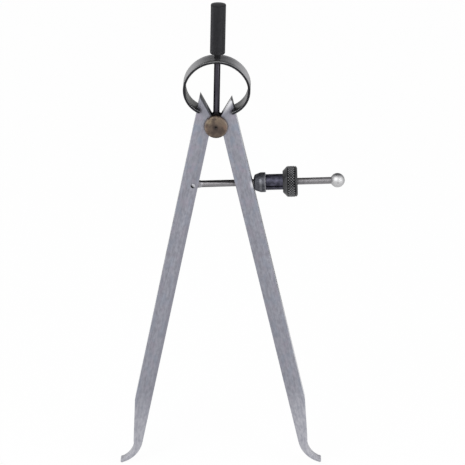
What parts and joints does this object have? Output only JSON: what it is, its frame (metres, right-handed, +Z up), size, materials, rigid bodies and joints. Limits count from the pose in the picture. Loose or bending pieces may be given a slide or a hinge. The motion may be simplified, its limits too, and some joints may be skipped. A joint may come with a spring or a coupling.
{
  "type": "inside spring caliper",
  "caption": "Inside spring caliper: flat steel legs with outward toes on a stud, bow spring, knurled handle, and a screw with a quick-release nut that sets the opening.",
  "frame": {"origin": "middle of the handle's grip, on its axis", "axes": "+Z up along the handle, +X to the nut's side, -Y to the front"},
  "size_m": [0.0879, 0.0122, 0.1986],
  "materials": {
    "leg_steel": "satin ground",
    "stud_brown": "turned, heat brown",
    "bow_steel": "satin",
    "stem_dark": "dark polished",
    "lock_black": "blackened",
    "handle_black": "knurled, blackened",
    "screw_steel": "threaded",
    "pin_steel": "ground flush",
    "ball_bright": "polished",
    "cup_gunmetal": "turned, blackened",
    "jaw_dark": "turned, blackened",
    "collar_black": "knurled, blackened",
    "wire_steel": "drawn wire",
    "ring_dark": "blackened"
  },
  "bodies": {
    "head": {"fulcrum_stud": "stud_brown", "stem": "stem_dark", "stem_lock_collar": "lock_black", "handle": "handle_black", "bow_spring": "bow_steel"},
    "left_leg": {"left_leg": "leg_steel", "screw_pin": "pin_steel"},
    "right_leg": {"right_leg": "leg_steel"},
    "screw": {"adjusting_screw": "screw_steel", "end_ball": "ball_bright"},
    "cup": {"thrust_cup": "cup_gunmetal"},
    "nut": {"thumb_collar": "collar_black", "collar_ring": "ring_dark", "jaw_spring": "wire_steel"},
    "upper_jaw": {"upper_jaw": "jaw_dark"},
    "lower_jaw": {"lower_jaw": "jaw_dark"}
  },
  "joints": [
    {"name": "left_leg_swing", "type": "hinge", "parent": "head", "child": "left_leg", "pos_m": [0, 0, -0.03985], "axis": [0, 1, 0], "range_deg": [-11.5, 11.5], "deforming": ["bow_spring"]},
    {"name": "right_leg_swing", "type": "hinge", "parent": "head", "child": "right_leg", "pos_m": [0, 0, -0.03985], "axis": [0, -1, 0], "range_deg": [-11.5, 11.5], "deforming": ["bow_spring"]},
    {"name": "screw_pivot", "type": "hinge", "parent": "left_leg", "child": "screw", "pos_m": [-0.00858, 0, -0.06507], "axis": [0, -1, 0], "range_deg": [-11.5, 11.5]},
    {"name": "cup_slide", "type": "slide", "parent": "screw", "child": "cup", "axis": [0.9984, 0, 0.0567], "range_m": [-0.0104, 0.0104]},
    {"name": "nut_spin", "type": "hinge", "parent": "cup", "child": "nut", "pos_m": [0.02968, 0, -0.0629], "axis": [0.9984, 0, 0.0567], "range_deg": [-7443, 7443]},
    {"name": "upper_jaw_release", "type": "slide", "parent": "nut", "child": "upper_jaw", "axis": [0.837, -0.1125, 0.5355], "range_m": [0, 0.0008], "stiffness_N_per_m": 100, "springref_m": -0.0004},
    {"name": "lower_jaw_release", "type": "slide", "parent": "nut", "child": "lower_jaw", "axis": [0.8923, 0.1125, -0.4373], "range_m": [0, 0.0008]}
  ],
  "couplings": [
    {"joint": "right_leg_swing", "follows": "left_leg_swing", "ratio": 1},
    {"joint": "screw_pivot", "follows": "left_leg_swing", "ratio": 1},
    {"joint": "cup_slide", "follows": "left_leg_swing", "m_per_rad": 0.0515},
    {"joint": "nut_spin", "follows": "left_leg_swing", "ratio": 647.17},
    {"joint": "lower_jaw_release", "follows": "upper_jaw_release", "ratio": 1}
  ]
}
